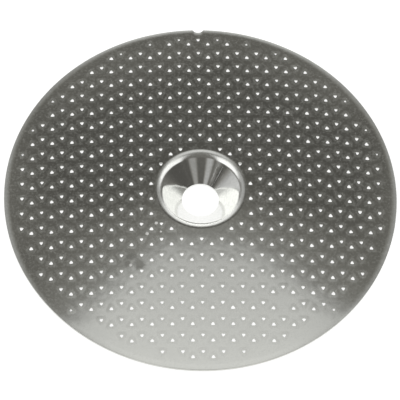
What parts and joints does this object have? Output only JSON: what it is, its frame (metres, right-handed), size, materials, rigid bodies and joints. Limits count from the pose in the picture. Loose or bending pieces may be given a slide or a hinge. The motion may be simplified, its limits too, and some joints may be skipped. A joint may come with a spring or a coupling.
{
  "type": "coffee machine filter screen",
  "caption": "Round domed steel filter screen for a coffee machine's brew head, perforated with small triangular holes, with a countersunk seat for its screw and a notch in the rim.",
  "frame": {"origin": "on the screw axis, in the flat foot under the countersunk seat, on which the screen rests", "axes": "+Z along the screw axis, out of the domed face and towards the screw's head; +Y towards the notch in the rim; +X along the strips of holes"},
  "size_m": [0.057, 0.057, 0.0037],
  "materials": {
    "steel_sheet": "bright rolled stainless sheet, pressed"
  },
  "bodies": {
    "root": {"filter_screen": "steel_sheet"}
  },
  "joints": []
}
